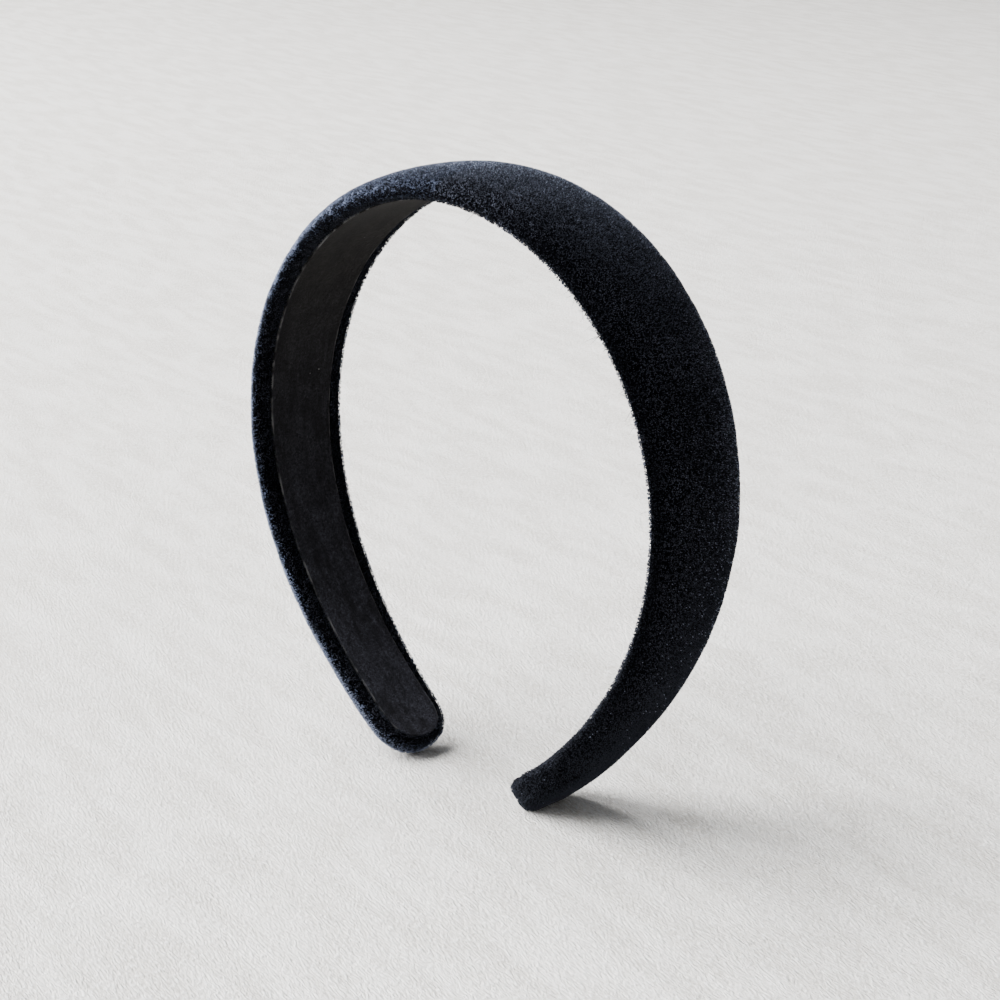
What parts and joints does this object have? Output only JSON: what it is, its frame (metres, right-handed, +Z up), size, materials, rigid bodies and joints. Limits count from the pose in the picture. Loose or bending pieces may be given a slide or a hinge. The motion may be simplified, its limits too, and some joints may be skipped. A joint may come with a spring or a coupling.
{
  "type": "headband",
  "caption": "Padded hard headband: springy arched hoop, wide at the crown and tapering to round tips, covered in pile fabric with a suede lining.",
  "frame": {"origin": "on the surface that the two tips stand on, midway between them and midway across the band", "axes": "+X from one leg to the other, ear to ear; +Y across the band, front to back; +Z up through the crown"},
  "size_m": [0.14, 0.0324, 0.1501],
  "materials": {
    "velvet": "short black pile with a blue-grey sheen",
    "suede": "matt charcoal microfibre suede",
    "sponge": "open-cell sponge",
    "hoop_plastic": "moulded, satin",
    "adhesive_tape": "thin adhesive film",
    "glue": "cured contact glue"
  },
  "bodies": {
    "root": {"core_band": "hoop_plastic", "pad_tape": "adhesive_tape", "foam_pad": "sponge", "hem_glue": "glue", "velvet_cover": "velvet", "lining_glue": "glue", "lining_strip": "suede"}
  },
  "joints": []
}
